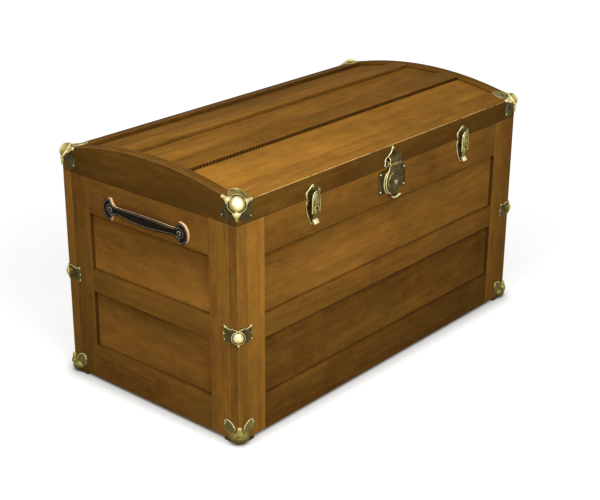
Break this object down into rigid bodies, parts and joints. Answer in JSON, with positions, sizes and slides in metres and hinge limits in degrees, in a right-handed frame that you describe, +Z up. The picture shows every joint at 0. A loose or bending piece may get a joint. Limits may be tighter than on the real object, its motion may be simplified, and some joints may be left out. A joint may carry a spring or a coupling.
{
  "type": "round-top trunk",
  "caption": "Wooden frame-and-panel trunk with an arched lid on back hinges, brass corner caps, draw bolts, a hasp lock and leather end handles.",
  "frame": {"origin": "middle of the whole trunk's box, on the floor under the bottom corner caps", "axes": "+Z up, the front with the lock faces -Y, X runs along the trunk's length"},
  "size_m": [0.839, 0.4426, 0.4645],
  "materials": {
    "frame_wood": "satin",
    "panel_wood": "satin",
    "lid_wood": "satin",
    "inner_wood": "matte",
    "antique_brass": "satin, aged",
    "black_leather": "satin",
    "steel": "brushed"
  },
  "bodies": {
    "case": {"front_stiles": "frame_wood", "front_rails": "frame_wood", "front_panels": "panel_wood", "back_stiles": "frame_wood", "back_rails": "frame_wood", "back_panels": "panel_wood", "left_stiles": "frame_wood", "left_rails": "frame_wood", "left_panels": "panel_wood", "right_stiles": "frame_wood", "right_rails": "frame_wood", "right_panels": "panel_wood", "bottom_board": "inner_wood", "bottom_cleats": "inner_wood", "base_corner_caps": "antique_brass", "edge_clamps": "antique_brass", "left_drawbolt_plate": "antique_brass", "right_drawbolt_plate": "antique_brass", "left_lever_pin": "steel", "right_lever_pin": "steel", "lock_plate": "antique_brass", "lock_case": "steel", "hinge_case_leaves": "antique_brass", "hinge_pins": "steel", "left_handle": "black_leather", "right_handle": "black_leather", "handle_screws": "steel", "handle_washers": "antique_brass"},
    "lid": {"lid_front_board": "lid_wood", "lid_back_board": "lid_wood", "lid_left_end": "lid_wood", "lid_right_end": "lid_wood", "lid_front_rail": "lid_wood", "lid_second_rail": "lid_wood", "lid_third_rail": "lid_wood", "lid_back_rail": "lid_wood", "lid_front_panel": "panel_wood", "lid_middle_panel": "panel_wood", "lid_back_panel": "panel_wood", "lid_corner_caps": "antique_brass", "left_drawbolt_catch": "antique_brass", "right_drawbolt_catch": "antique_brass", "hinge_lid_leaves": "antique_brass", "hasp_plate": "antique_brass", "hasp_pin": "steel"},
    "left_lever": {"left_drawbolt_lever": "antique_brass", "left_tongue_pin": "steel"},
    "right_lever": {"right_drawbolt_lever": "antique_brass", "right_tongue_pin": "steel"},
    "left_tongue": {"left_drawbolt_tongue": "antique_brass"},
    "right_tongue": {"right_drawbolt_tongue": "antique_brass"},
    "hasp": {"hasp": "antique_brass"},
    "bolt": {"lock_bolt": "steel"}
  },
  "joints": [
    {"name": "lid_hinge", "type": "hinge", "parent": "case", "child": "lid", "pos_m": [0, 0.21655, 0.3957], "axis": [-1, 0, 0], "range_deg": [0, 100]},
    {"name": "left_lever_pivot", "type": "hinge", "parent": "case", "child": "left_lever", "pos_m": [-0.221, -0.21445, 0.3875], "axis": [-1, 0, 0], "range_deg": [0, 75]},
    {"name": "right_lever_pivot", "type": "hinge", "parent": "case", "child": "right_lever", "pos_m": [0.221, -0.21445, 0.3875], "axis": [-1, 0, 0], "range_deg": [0, 75]},
    {"name": "left_tongue_pivot", "type": "hinge", "parent": "left_lever", "child": "left_tongue", "pos_m": [-0.221, -0.21365, 0.3755], "axis": [-1, 0, 0], "range_deg": [-75, 0]},
    {"name": "right_tongue_pivot", "type": "hinge", "parent": "right_lever", "child": "right_tongue", "pos_m": [0.221, -0.21365, 0.3755], "axis": [-1, 0, 0], "range_deg": [-75, 0]},
    {"name": "hasp_hinge", "type": "hinge", "parent": "lid", "child": "hasp", "pos_m": [0, -0.21635, 0.401], "axis": [-1, 0, 0], "range_deg": [0, 95]},
    {"name": "lock_bolt_slide", "type": "slide", "parent": "case", "child": "bolt", "axis": [-1, 0, 0], "range_m": [0, 0.005]}
  ],
  "couplings": [
    {"joint": "left_tongue_pivot", "follows": "left_lever_pivot", "ratio": -1},
    {"joint": "right_tongue_pivot", "follows": "right_lever_pivot", "ratio": -1}
  ]
}
